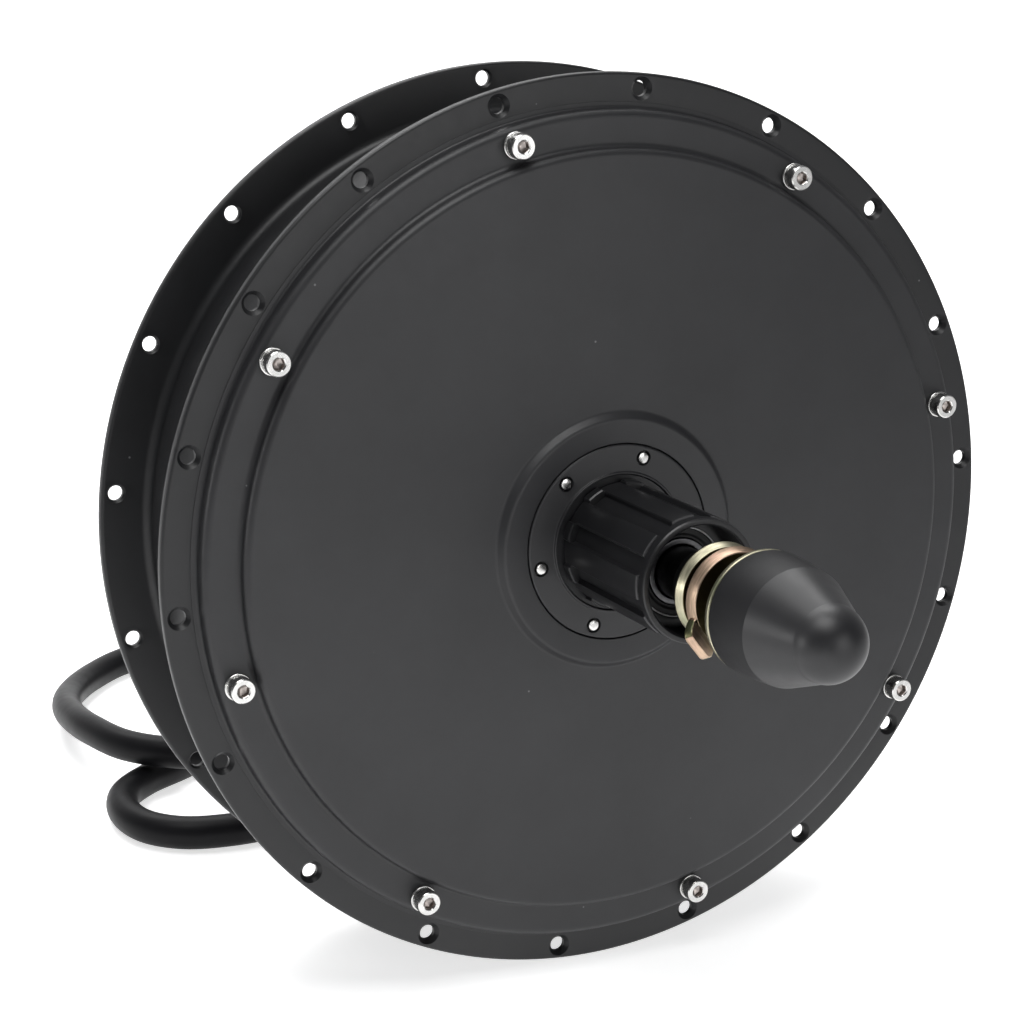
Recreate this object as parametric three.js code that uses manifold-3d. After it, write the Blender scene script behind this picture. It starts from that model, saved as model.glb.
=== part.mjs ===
// A direct drive hub motor wheel: spoke-flanged shell, two covers, outrunner motor, cassette freehub,
// flatted through axle with its washers and nuts, and the motor cable lying behind it.
// Millimetres, +Z up. The origin is on the axle axis, midway between the spoke flanges.
// The axle lies along Y: the drive (freehub) side faces -Y and the brake (cable) side faces +Y.
import * as THREE from 'three';
import { mergeVertices } from 'three/addons/utils/BufferGeometryUtils.js';
import Module from 'manifold-3d';

// ---- Driving dimensions ----
const GAP = 0.3;                    // clearance between neighbouring pieces

const FLANGE_RADIUS = 129.3;
const FLANGE_HALF_WIDTH = 29.8;     // hub centre to a flange's outer face
const FLANGE_THICKNESS = 3.3;
const DRUM_RADIUS = 115;
const DRUM_BORE = 110.9;
const SPOKE_COUNT = 18;             // holes in each flange
const SPOKE_CIRCLE = 125;
const SPOKE_HOLE = 2.1;
const DRIVE_SPOKE_ANGLE = 104.5;    // one hole's angle, from +X towards +Z
const BRAKE_SPOKE_ANGLE = 114.5;

const COVER_RADIUS = 119.5;
const COVER_RING_HEIGHT = 5.5;      // ring plateau above the flange face
const COVER_DISC_HEIGHT = 9.75;     // disc plateau above the flange face
const COVER_STEP_RADIUS = 110.2;
const COVER_WALL = 4;
const COVER_SPIGOT = 3;             // how far the cover's spigot enters the drum
const BOSS_RADIUS = 35.2;
const BOSS_FOOT = 36.7;
const DRIVE_BOSS_HEIGHT = 11.9;
const BRAKE_BOSS_HEIGHT = 14.5;

const SCREW_COUNT = 8;
const SCREW_CIRCLE = 114.6;
const SCREW_ANGLE = 104.6;
const SCREW_HEAD = 3.5;
const SCREW_HEAD_HEIGHT = 4;
const SCREW_SHANK = 1.9;
const SCREW_WASHER_HEIGHT = 1.1;
const SCREW_DEPTH = 2.6;            // thread engaged below the flange face

const MAGNET_POLES = 40;
const STATOR_SLOTS = 36;
const STATOR_RADIUS = 102.5;
const AIR_GAP = 0.7;
const MAGNET_HEIGHT = 2.8;
const BACK_IRON_HEIGHT = 4.2;
const STACK_LENGTH = 45;
const WINDING_OVERHANG = 10;

const BEARING_BORE = 12.5;
const BEARING_OUTER = 23.5;
const BEARING_WIDTH = 12;

const FREEHUB_RIDGE = 17.5;
const FREEHUB_GROOVE = 16.1;
const FREEHUB_END_RADIUS = 17.1;
const FREEHUB_BLOCK = 18.3;
const FREEHUB_SPLINES = 9;
const FREEHUB_RIDGE_ANGLE = 101.8;
const FREEHUB_START = 12.4;         // above the drive flange face
const FREEHUB_BLOCK_END = 16.4;
const FREEHUB_RIDGE_END = 54.3;
const FREEHUB_END = 58.1;
const FREEHUB_BORE = 15.2;
const FREEHUB_BEARING_FACE = 47.2;
const PLATE_RADIUS = 27.9;
const PLATE_THICKNESS = 2.9;
const PIN_COUNT = 6;
const PIN_CIRCLE = 24.6;
const PIN_ANGLE = 12;
const PIN_RADIUS = 1.55;

const AXLE_THREAD = 6.9;            // M14 thread
const AXLE_FLATS = 10;              // across the flats
const AXLE_CORE = 15;
const AXLE_BORE = 4;                // for the cable's conductors
const LUG_ANGLE = -140;             // where the tab washers' lugs point, along the axle flats
const DRIVE_AXLE_END = 110;         // above the drive flange face
const DRIVE_SHOULDER = 66.6;
const BRAKE_SHOULDER = 23.7;        // above the brake flange face
const BRAKE_AXLE_END = 67.2;
const WASHER_RADIUS = 13.2;
const WASHER_THICKNESS = 3.5;
const DRIVE_WASHER = 67;
const DRIVE_TAB_WASHER = 72.9;
const DRIVE_NUT = 88;
const BRAKE_WASHER = 24;
const BRAKE_TAB_WASHER = 27.9;
const BRAKE_NUT = 37;
const NUT_FLANGE = 16.1;
const NUT_FLANGE_HEIGHT = 1.9;
const NUT_HEX_RADIUS = 12.1;        // across corners, halved
const NUT_HEIGHT = 13;

const CAP_RIM = 90.25;
const CAP_RADIUS = 16.4;
const CAP_SHOULDER_RADIUS = 15.4;
const CAP_SHOULDER = 105.3;
const CAP_CREASE_RADIUS = 10;
const CAP_CREASE = 120.2;
const CAP_DOME_RADIUS = 10.2;
const CAP_DOME_CENTRE = 118.95;

const CABLE_RADIUS = 5.5;
const FLOOR_CABLE = -123.3;         // height of the cable's centre where it lies on the floor
const CROSSING_CABLE = -112;        // and where it lies on another strand
const RELIEF_LENGTH = 32;
const PLUG_RADIUS = 8.5;
const PLUG_LENGTH = 42;

// The cable's centreline from the strain relief to the connector.
const CABLE_ROUTE = [
  [0, 129.9, 0], [0, 142, 0], [0.5, 156, -2.5], [2, 172, -9], [3, 187, -21], [5, 203, -40], [7, 221, -68],
  [9, 244, -97], [7, 270, -116], [-8, 292, FLOOR_CABLE], [-28, 299, FLOOR_CABLE],
  [-49, 293, FLOOR_CABLE], [-66.5, 278, FLOOR_CABLE], [-80.5, 256, -121.4], [-89.3, 231, -118],
  [-92.8, 207, -114.8], [-92.4, 184, -112.4], [-86.2, 161.5, CROSSING_CABLE],
  [-72.5, 146.5, CROSSING_CABLE], [-54, 138.5, CROSSING_CABLE], [-34.5, 134, -114.2],
  [-13, 132.5, -118.4], [8.5, 136, -122.3], [27, 146, FLOOR_CABLE], [40, 162, FLOOR_CABLE],
  [44, 183, FLOOR_CABLE], [36, 203, FLOOR_CABLE], [17, 213, FLOOR_CABLE], [-6, 211, FLOOR_CABLE],
  [-27, 198, FLOOR_CABLE], [-46, 181, FLOOR_CABLE], [-64, 166, FLOOR_CABLE], [-81.5, 155, FLOOR_CABLE],
  [-93.2, 142.5, FLOOR_CABLE], [-97.4, 127, FLOOR_CABLE], [-94.6, 111.5, FLOOR_CABLE],
  [-85, 101, FLOOR_CABLE], [-70.5, 97, FLOOR_CABLE], [-52, 97.5, FLOOR_CABLE], [-24, 100.5, FLOOR_CABLE],
  [6, 103.5, FLOOR_CABLE], [34, 103.5, -122.4], [58, 103, -119.8],
];
const CABLE_STEPS = 58;

// ---- Facets round a full turn ----
const RIM_FACETS = 40;
const FREEHUB_FACETS = 24;
const AXLE_FACETS = 18;

// ---- Materials: [colour, roughness, metalness] ----
const BLACK_METAL = [0x3a3a3c, 0.5, 0.6];
const BRIGHT_STEEL = [0xc9c9c6, 0.28, 1];
const GREY_STEEL = [0x77787a, 0.4, 1];
const YELLOW_ZINC = [0xcfae6a, 0.32, 1];
const DARK_STEEL = [0x1f1f21, 0.45, 0.8];
const BLACK_RUBBER = [0x19191b, 0.65, 0];
const BLACK_PLASTIC = [0x1c1c1e, 0.5, 0];
const COPPER = [0xb06a3a, 0.4, 1];
const MAGNET_GREY = [0x8b8c8e, 0.35, 0.9];
const BOARD_GREEN = [0x2c6b3c, 0.6, 0];

// ---- Solids ----
const wasm = await Module();
wasm.setup();
const hub = new THREE.Group();

// A three.js geometry as a solid that can be joined and cut.
function solid(geometry) {
  const bare = geometry.index ? geometry.toNonIndexed() : geometry.clone();
  for (const name of Object.keys(bare.attributes)) {
    if (name !== 'position') bare.deleteAttribute(name);
  }
  const merged = mergeVertices(bare, 1e-4);
  const corners = merged.index.array;
  const faces = [];
  for (let i = 0; i < corners.length; i += 3) {
    const [a, b, c] = [corners[i], corners[i + 1], corners[i + 2]];
    if (a !== b && b !== c && c !== a) faces.push(a, b, c);
  }
  return new wasm.Manifold(new wasm.Mesh({
    numProp: 3,
    vertProperties: merged.attributes.position.array,
    triVerts: new Uint32Array(faces),
  }));
}

// Adds a named piece to the hub. A piece is a solid, or a geometry that needs no cuts.
function piece(name, shape, look) {
  let geometry = shape;
  if (!shape.isBufferGeometry) {
    const mesh = shape.getMesh();
    geometry = new THREE.BufferGeometry();
    geometry.setAttribute('position', new THREE.BufferAttribute(new Float32Array(mesh.vertProperties), 3));
    geometry.setIndex(new THREE.BufferAttribute(new Uint32Array(mesh.triVerts), 1));
    geometry.computeVertexNormals();
  }
  const [color, roughness, metalness] = look;
  const mesh = new THREE.Mesh(geometry, new THREE.MeshStandardMaterial({ color, roughness, metalness }));
  mesh.name = name;
  hub.add(mesh);
}

// Axial position of a height above a flange's outer face: side -1 is the drive side, 1 the brake side.
const outward = (side, height) => side * (FLANGE_HALF_WIDTH + height);

// A profile of [radius, y] corners turned about the axle, with a flat facet facing straight down.
function turned(profile, segments) {
  const points = profile.map(([r, y]) => new THREE.Vector2(r, y));
  if (profile[0][0] > 0) points.push(points[0].clone());
  if (THREE.ShapeUtils.area(points) < 0) points.reverse();
  return solid(new THREE.LatheGeometry(points, segments, Math.PI / segments));
}

// The same for a profile of [radius, height above a flange's face] corners.
function turnedOn(side, profile, segments) {
  return turned(profile.map(([r, height]) => [r, outward(side, height)]), segments);
}

// A plain ring between two axial positions.
function ring(inner, outer, y0, y1, segments) {
  return turned([[inner, y0], [outer, y0], [outer, y1], [inner, y1]], segments);
}

function polar(radius, degrees, y = 0) {
  const angle = THREE.MathUtils.degToRad(degrees);
  return [radius * Math.cos(angle), y, radius * Math.sin(angle)];
}

// A rod along the axle direction, used as a pin or as a cutter.
function rod(radius, y0, y1, [x, , z], segments) {
  const geometry = new THREE.CylinderGeometry(radius, radius, Math.abs(y1 - y0), segments);
  return solid(geometry.translate(x, (y0 + y1) / 2, z));
}

// An outline of [x, z] corners, extruded between two axial positions.
function slab(outline, y0, y1) {
  const shape = new THREE.Shape(outline.map(([x, z]) => new THREE.Vector2(x, z)));
  const geometry = new THREE.ExtrudeGeometry(shape, { depth: y1 - y0, bevelEnabled: false });
  return solid(geometry.rotateX(Math.PI / 2).translate(0, y1, 0));
}

// The same solid repeated at even angles about the axle, joined.
function around(count, firstAngle, make) {
  const solids = [];
  for (let i = 0; i < count; i += 1) solids.push(make(firstAngle + (i * 360) / count));
  return wasm.Manifold.union(solids);
}

// ---- Shell and covers ----
function hubShell() {
  const face = FLANGE_HALF_WIDTH;
  const inside = face - FLANGE_THICKNESS;
  const fillet = 2.4;
  const half = [
    [DRUM_BORE, face], [FLANGE_RADIUS, face], [FLANGE_RADIUS, inside], [DRUM_RADIUS + fillet, inside],
    [DRUM_RADIUS, inside - fillet],
  ];
  const mirrored = half.map(([r, y]) => [r, -y]).reverse();
  const body = turned([...half, ...mirrored], RIM_FACETS);
  const cutters = [];
  for (const [side, angle] of [[-1, DRIVE_SPOKE_ANGLE], [1, BRAKE_SPOKE_ANGLE]]) {
    cutters.push(around(SPOKE_COUNT, angle, (a) => (
      rod(SPOKE_HOLE, outward(side, 1), outward(side, -FLANGE_THICKNESS - 1), polar(SPOKE_CIRCLE, a), 6)
    )));
    cutters.push(around(SCREW_COUNT, SCREW_ANGLE, (a) => (
      rod(SCREW_SHANK + 2 * GAP, outward(side, 1), outward(side, -SCREW_DEPTH - GAP),
        polar(SCREW_CIRCLE, a), 6)
    )));
  }
  return body.subtract(wasm.Manifold.union(cutters));
}

// A cover: bearing housing, web, disc plateau, step, ring plateau and the spigot that enters the drum.
function cover(side, bossHeight, bossInside) {
  const housing = BEARING_OUTER + GAP;
  const webInside = COVER_DISC_HEIGHT - COVER_WALL;
  const stepInside = COVER_STEP_RADIUS - COVER_WALL;
  const profile = [
    [housing, -7.5], [28.5, -7.5], [28.5, webInside], [stepInside - 3, webInside],
    [stepInside, -COVER_SPIGOT], [DRUM_BORE - GAP, -COVER_SPIGOT], [DRUM_BORE - GAP, GAP],
    [COVER_RADIUS, GAP], [COVER_RADIUS, COVER_RING_HEIGHT - 1.4], [COVER_RADIUS - 1.4, COVER_RING_HEIGHT],
    [COVER_STEP_RADIUS, COVER_RING_HEIGHT], [COVER_STEP_RADIUS - 2.2, COVER_DISC_HEIGHT],
    [BOSS_FOOT, COVER_DISC_HEIGHT], [BOSS_RADIUS, bossHeight], ...bossInside,
  ];
  const [below, above] = [outward(side, -1), outward(side, COVER_RING_HEIGHT + 1)];
  const screwHoles = around(SCREW_COUNT, SCREW_ANGLE, (a) => (
    rod(SCREW_SHANK + 2 * GAP, below, above, polar(SCREW_CIRCLE, a), 6)
  ));
  return turnedOn(side, profile, RIM_FACETS).subtract(screwHoles);
}

function driveCover() {
  const recess = DRIVE_BOSS_HEIGHT - PLATE_THICKNESS - 1.5 * GAP;
  return cover(-1, DRIVE_BOSS_HEIGHT, [
    [PLATE_RADIUS + GAP, DRIVE_BOSS_HEIGHT], [PLATE_RADIUS + GAP, recess],
    [BEARING_OUTER + GAP, recess],
  ]);
}

// The brake side boss carries the disc rotor seat: a six-hole flange with a locating spigot.
const ROTOR_SEAT_RADIUS = 29;
const ROTOR_SPIGOT = 17.45;
const ROTOR_SPIGOT_HEIGHT = 2;
const ROTOR_CIRCLE = 22;
const ROTOR_HOLE = 2.5;
function brakeCover() {
  const seat = BRAKE_BOSS_HEIGHT + 3;
  const body = cover(1, BRAKE_BOSS_HEIGHT, [
    [ROTOR_SEAT_RADIUS, BRAKE_BOSS_HEIGHT], [ROTOR_SEAT_RADIUS, seat], [ROTOR_SPIGOT, seat],
    [ROTOR_SPIGOT, seat + ROTOR_SPIGOT_HEIGHT], [14.6, seat + ROTOR_SPIGOT_HEIGHT],
    [14.6, 6.4], [BEARING_OUTER + GAP, 6.4],
  ]);
  const holes = around(6, 90, (a) => (
    rod(ROTOR_HOLE, outward(1, seat - 7), outward(1, seat + 1), polar(ROTOR_CIRCLE, a), 6)
  ));
  return body.subtract(holes);
}

// A cap screw.
function coverScrew(side, angle) {
  const seat = COVER_RING_HEIGHT + GAP;
  const top = seat + SCREW_WASHER_HEIGHT + SCREW_HEAD_HEIGHT;
  const profile = [
    [0, -SCREW_DEPTH], [SCREW_SHANK, -SCREW_DEPTH], [SCREW_SHANK, seat], [SCREW_HEAD, seat],
    [SCREW_HEAD, top], [0, top],
  ];
  const [x, , z] = polar(SCREW_CIRCLE, angle);
  return turnedOn(side, profile, 8).translate([x, 0, z]);
}

// ---- Motor ----
function backIron() {
  const outer = DRUM_BORE - GAP;
  return ring(outer - BACK_IRON_HEIGHT, outer, -25, 25, RIM_FACETS);
}

// The magnets, bonded side by side into one ring, with a joint between poles.
function magnetRing() {
  const outer = DRUM_BORE - 2 * GAP - BACK_IRON_HEIGHT;
  const inner = STATOR_RADIUS + AIR_GAP;
  const outline = [];
  const bore = new THREE.Path();
  const step = 360 / MAGNET_POLES;
  for (let i = 0; i < MAGNET_POLES; i += 1) {
    const joint = (i + 0.5) * step;
    outline.push(polar(outer, joint));
    for (const [r, turn] of [[inner, -0.45], [inner + 1.6, 0], [inner, 0.45]]) {
      const [x, , z] = polar(r, joint + turn);
      if (bore.currentPoint.length() === 0) bore.moveTo(x, z);
      else bore.lineTo(x, z);
    }
  }
  const shape = new THREE.Shape(outline.map(([x, , z]) => new THREE.Vector2(x, z)));
  shape.holes.push(bore);
  const geometry = new THREE.ExtrudeGeometry(shape, { depth: 48, bevelEnabled: false });
  return solid(geometry.rotateX(Math.PI / 2).translate(0, 24, 0));
}

const SLOT_FLOOR = 80;
const YOKE_BORE = 72;
const SLOT_HALF_ANGLE = 3.1;
function statorCore() {
  const outline = [];
  const step = 360 / STATOR_SLOTS;
  for (let i = 0; i < STATOR_SLOTS; i += 1) {
    const slot = i * step;
    const corners = [
      [STATOR_RADIUS, -1.2], [STATOR_RADIUS - 3, -SLOT_HALF_ANGLE], [SLOT_FLOOR, -SLOT_HALF_ANGLE],
      [SLOT_FLOOR, SLOT_HALF_ANGLE], [STATOR_RADIUS - 3, SLOT_HALF_ANGLE], [STATOR_RADIUS, 1.2],
    ];
    for (const [r, turn] of corners) outline.push(polar(r, slot + turn));
  }
  const half = STACK_LENGTH / 2;
  const laminations = slab(outline.map(([x, , z]) => [x, z]), -half, half);
  return laminations.subtract(rod(YOKE_BORE, -half - 1, half + 1, [0, 0, 0], FREEHUB_FACETS));
}

// The winding: the bundles that fill the slots, joined by the end turns on both sides.
function statorWinding() {
  const inner = SLOT_FLOOR + 1;
  const outer = STATOR_RADIUS - 5;
  const half = STACK_LENGTH / 2 + GAP;
  const reach = half + WINDING_OVERHANG;
  const bundle = (a) => {
    const corners = [[inner, -2.4], [outer, -2.4], [outer, 2.4], [inner, 2.4]];
    const outline = corners.map(([r, turn]) => polar(r, a + turn));
    return slab(outline.map(([x, , z]) => [x, z]), -half - 1, half + 1);
  };
  const endTurns = [-1, 1].map((side) => turned([
    [inner - 1, side * half], [outer + 1, side * half], [outer - 2, side * reach], [inner + 2, side * reach],
  ], FREEHUB_FACETS));
  return around(STATOR_SLOTS, 0, bundle).add(endTurns[0]).add(endTurns[1]);
}

// The spider that carries the laminations on the axle.
function statorCarrier() {
  const profile = [
    [AXLE_CORE + GAP, -12], [24, -12], [24, -4], [66, -4], [66, -14], [YOKE_BORE - 1.2, -14],
    [YOKE_BORE - 1.2, 14], [66, 14], [66, 4], [24, 4], [24, 12], [AXLE_CORE + GAP, 12],
  ];
  const windows = around(6, 30, (a) => rod(11, -6, 6, polar(45, a), 8));
  return turned(profile, AXLE_FACETS).subtract(windows);
}

// The hall sensor board, on the end of the laminations' yoke.
function hallBoard() {
  const y = STACK_LENGTH / 2 + GAP;
  const outline = [];
  for (let a = 60; a <= 120; a += 15) outline.push(polar(77.5, a));
  for (let a = 120; a >= 60; a -= 15) outline.push(polar(YOKE_BORE + 1.2, a));
  return slab(outline.map(([x, , z]) => [x, z]), y, y + 1.6);
}

// ---- Axle and bearings ----
const DRIVE_BEARING_SEAT = 41;
// A block that spans everything beyond a flat of the axle, over a stretch of its length.
function beyondFlat(sign, y0, y1) {
  const block = new THREE.BoxGeometry(40, Math.abs(y1 - y0), 20);
  block.translate(0, (y0 + y1) / 2, sign * (AXLE_FLATS / 2 + 10));
  return solid(block.rotateY(-THREE.MathUtils.degToRad(LUG_ANGLE)));
}

function axle() {
  const seat = BEARING_BORE - GAP;
  const profile = [
    [0, outward(-1, DRIVE_AXLE_END)], [AXLE_THREAD - 1, outward(-1, DRIVE_AXLE_END)],
    [AXLE_THREAD, outward(-1, DRIVE_AXLE_END - 1)], [AXLE_THREAD, outward(-1, DRIVE_SHOULDER)],
    [7.2, outward(-1, DRIVE_SHOULDER)], [7.2, outward(-1, DRIVE_BEARING_SEAT)],
    [7.9, outward(-1, DRIVE_BEARING_SEAT)], [7.9, outward(-1, 8.5)], [seat, outward(-1, 8.5)],
    [seat, -22], [AXLE_CORE, -22], [AXLE_CORE, 22], [seat, 22], [seat, outward(1, 18)],
    [10, outward(1, 18)], [10, outward(1, BRAKE_SHOULDER)], [AXLE_THREAD, outward(1, BRAKE_SHOULDER)],
    [AXLE_THREAD, outward(1, BRAKE_AXLE_END - 1)], [AXLE_THREAD - 1, outward(1, BRAKE_AXLE_END)],
    [0, outward(1, BRAKE_AXLE_END)],
  ];
  let body = turned(profile, AXLE_FACETS);
  for (const sign of [-1, 1]) {
    body = body.subtract(beyondFlat(sign, outward(-1, DRIVE_AXLE_END + 1), outward(-1, DRIVE_SHOULDER)));
    body = body.subtract(beyondFlat(sign, outward(1, BRAKE_SHOULDER), outward(1, BRAKE_AXLE_END + 1)));
  }
  const bore = rod(AXLE_BORE, 14, outward(1, BRAKE_AXLE_END + 1), [0, 0, 0], 8);
  const exit = solid(new THREE.CylinderGeometry(3.5, 3.5, 20, 6).rotateX(Math.PI / 2).translate(0, 17.5, 10));
  return body.subtract(bore).subtract(exit);
}

// Inner and outer rings of a cover's main bearing, and the shaft seal outside it.
function mainBearing(side, place) {
  const y0 = outward(side, -6);
  const y1 = outward(side, -6 + BEARING_WIDTH);
  const [low, high] = [Math.min(y0, y1), Math.max(y0, y1)];
  piece(`${place}_bearing_inner_ring`, ring(BEARING_BORE, 15.6, low, high, AXLE_FACETS), GREY_STEEL);
  piece(`${place}_bearing_outer_ring`, ring(20.2, BEARING_OUTER - 0.1, low, high, AXLE_FACETS), GREY_STEEL);
}

function shaftSeal(side, outer, start, end) {
  const y0 = outward(side, start);
  const y1 = outward(side, end);
  return ring(BEARING_BORE + GAP, outer, Math.min(y0, y1), Math.max(y0, y1), AXLE_FACETS);
}

// ---- Freehub ----
// The splined outline: ridges at one radius, and the grooves between them at another.
function splineOutline(ridge, groove) {
  const corners = [];
  const step = 360 / FREEHUB_SPLINES;
  for (let i = 0; i < FREEHUB_SPLINES; i += 1) {
    const centre = FREEHUB_RIDGE_ANGLE + i * step;
    for (const turn of [-11.5, 0, 11.5]) corners.push(polar(ridge, centre + turn));
    for (const turn of [13, 20, 27]) corners.push(polar(groove, centre + turn));
  }
  return corners.map(([x, , z]) => [x, z]);
}

function freehubShell() {
  const ridges = splineOutline(FREEHUB_RIDGE, FREEHUB_GROOVE);
  const blocks = splineOutline(FREEHUB_RIDGE, FREEHUB_BLOCK);
  const wall = FREEHUB_BORE - 0.7;
  const end = outward(-1, FREEHUB_END);
  const body = slab(ridges, outward(-1, FREEHUB_RIDGE_END), outward(-1, FREEHUB_START))
    .add(slab(blocks, outward(-1, FREEHUB_BLOCK_END), outward(-1, FREEHUB_START)))
    .add(rod(FREEHUB_END_RADIUS, outward(-1, FREEHUB_RIDGE_END - 1), end, [0, 0, 0], FREEHUB_FACETS));
  const bore = turned([
    [0, outward(-1, FREEHUB_START - 1)], [wall, outward(-1, FREEHUB_START - 1)], [wall, outward(-1, 39.5)],
    [12.5, outward(-1, 39.5)], [12.5, outward(-1, FREEHUB_BEARING_FACE)],
    [FREEHUB_BORE, outward(-1, FREEHUB_BEARING_FACE)], [FREEHUB_BORE, end - 1], [0, end - 1],
  ], FREEHUB_FACETS);
  return body.subtract(bore);
}

// The mounting plate in the boss, with the tube that the freehub's ratchet turns on.
function freehubBase() {
  const top = DRIVE_BOSS_HEIGHT - GAP / 2;
  const body = turnedOn(-1, [
    [8.6, top - PLATE_THICKNESS], [PLATE_RADIUS, top - PLATE_THICKNESS], [PLATE_RADIUS, top],
    [20, top], [20, top + 1.6], [19, top + 1.6], [19, top], [13.6, top], [13.6, 38.5], [8.6, 38.5],
  ], FREEHUB_FACETS);
  const holes = around(PIN_COUNT, PIN_ANGLE, (a) => (
    rod(PIN_RADIUS + GAP, outward(-1, 0), outward(-1, top + 1), polar(PIN_CIRCLE, a), 6)
  ));
  return body.subtract(holes);
}

function freehubPin(angle) {
  const top = DRIVE_BOSS_HEIGHT + 0.2;
  const back = DRIVE_BOSS_HEIGHT - PLATE_THICKNESS;
  return rod(PIN_RADIUS, outward(-1, top), outward(-1, back), polar(PIN_CIRCLE, angle), 6);
}

// ---- Axle hardware ----
// An opening that fits the flatted thread.
function flattedHole(y0, y1) {
  let hole = rod(AXLE_THREAD + GAP, y0, y1, [0, 0, 0], AXLE_FACETS);
  for (const sign of [-1, 1]) {
    const block = new THREE.BoxGeometry(40, 60, 20);
    block.translate(0, (y0 + y1) / 2, sign * (AXLE_FLATS / 2 + GAP + 10));
    hole = hole.subtract(solid(block.rotateY(-THREE.MathUtils.degToRad(LUG_ANGLE))));
  }
  return hole;
}

function plainWasher(side, start) {
  return turnedOn(side, [
    [AXLE_THREAD + GAP, start], [WASHER_RADIUS, start], [WASHER_RADIUS, start + WASHER_THICKNESS],
    [AXLE_THREAD + GAP, start + WASHER_THICKNESS],
  ], FREEHUB_FACETS);
}

const LUG_WIDTH = 9;
const LUG_END = 16.8;
// A washer keyed on the axle flats, with a lug bent outwards from its rim.
function tabWasher(side, start) {
  const disc = turnedOn(side, [
    [0, start], [WASHER_RADIUS, start], [WASHER_RADIUS, start + WASHER_THICKNESS],
    [0, start + WASHER_THICKNESS],
  ], FREEHUB_FACETS);
  const bent = new THREE.Shape([
    [10.5, start + 0.7], [13, start + 0.7], [LUG_END + 0.9, start + 3], [LUG_END - 0.4, start + 5.6],
    [12.4, start + WASHER_THICKNESS - 0.1], [10.5, start + WASHER_THICKNESS - 0.1],
  ].map(([r, height]) => new THREE.Vector2(r, outward(side, height))));
  const lug = new THREE.ExtrudeGeometry(bent, { depth: LUG_WIDTH, bevelEnabled: false });
  lug.translate(0, 0, -LUG_WIDTH / 2).rotateY(-THREE.MathUtils.degToRad(LUG_ANGLE));
  const hole = flattedHole(outward(side, start - 1), outward(side, start + 8));
  return disc.add(solid(lug)).subtract(hole);
}

function axleNut(side, start) {
  const flange = turnedOn(side, [
    [0, start], [NUT_FLANGE, start], [NUT_FLANGE, start + NUT_FLANGE_HEIGHT], [0, start + NUT_FLANGE_HEIGHT],
  ], FREEHUB_FACETS);
  const hex = rod(NUT_HEX_RADIUS, outward(side, start + 1), outward(side, start + NUT_HEIGHT), [0, 0, 0], 6);
  const [below, above] = [outward(side, start - 1), outward(side, start + NUT_HEIGHT + 1)];
  const thread = rod(AXLE_THREAD + GAP, below, above, [0, 0, 0], AXLE_FACETS);
  return flange.add(hex).subtract(thread);
}

// The rubber cap: a sleeve round the nut, a shoulder, a cone, a soft crease and a round dome.
function axleCap() {
  const dome = [];
  for (let a = 15; a <= 65; a += 25) {
    const angle = THREE.MathUtils.degToRad(a);
    dome.push([CAP_DOME_RADIUS * Math.cos(angle), CAP_DOME_CENTRE + CAP_DOME_RADIUS * Math.sin(angle)]);
  }
  return turnedOn(-1, [
    [12.9, CAP_RIM], [CAP_RADIUS, CAP_RIM], [CAP_RADIUS - 0.3, CAP_SHOULDER - 4],
    [CAP_SHOULDER_RADIUS, CAP_SHOULDER], [CAP_CREASE_RADIUS, CAP_CREASE], ...dome,
    [0, CAP_DOME_CENTRE + CAP_DOME_RADIUS], [0, 113], [7.4, 113], [7.4, 103], [12.9, 103],
  ], FREEHUB_FACETS);
}

// ---- Cable ----
function strainRelief() {
  const start = BRAKE_AXLE_END + GAP;
  return turnedOn(1, [
    [0, start], [9, start], [9, start + 7], [7.9, start + 8.5], [5.9, start + RELIEF_LENGTH],
    [0, start + RELIEF_LENGTH],
  ], 12);
}

function cableTube() {
  const section = new THREE.Shape();
  section.absarc(0, 0, CABLE_RADIUS, 0, Math.PI * 2);
  const points = CABLE_ROUTE.map((p) => new THREE.Vector3(...p));
  const route = new THREE.CatmullRomCurve3(points, false, 'centripetal');
  return new THREE.ExtrudeGeometry(section, { steps: CABLE_STEPS, curveSegments: 4, extrudePath: route });
}

// The connector: a turned body in line with the cable's end, and its socket of contacts.
function connector() {
  const [from, end] = CABLE_ROUTE.slice(-2).map((p) => new THREE.Vector3(...p));
  const heading = end.clone().sub(from).normalize();
  const turn = new THREE.Quaternion().setFromUnitVectors(new THREE.Vector3(0, 1, 0), heading);
  const start = end.clone().addScaledVector(heading, GAP).setZ(FLOOR_CABLE + PLUG_RADIUS - CABLE_RADIUS + GAP);
  const place = (profile, look, name) => {
    const points = profile.map(([r, y]) => new THREE.Vector2(r, y));
    const geometry = new THREE.LatheGeometry(points, 12).applyQuaternion(turn);
    piece(name, solid(geometry.translate(start.x, start.y, start.z)), look);
  };
  const rim = PLUG_LENGTH;
  place([
    [0, 0], [6, 0], [6, 6], [PLUG_RADIUS - 0.6, 10], [PLUG_RADIUS - 0.6, 24], [PLUG_RADIUS, 25],
    [PLUG_RADIUS, rim], [6.6, rim], [6.6, rim - 12], [0, rim - 12],
  ], BLACK_PLASTIC, 'plug_body');
  place([
    [0, rim - 11.7], [5, rim - 11.7], [5, rim - 3], [0, rim - 3],
  ], BRIGHT_STEEL, 'plug_contacts');
}

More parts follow.
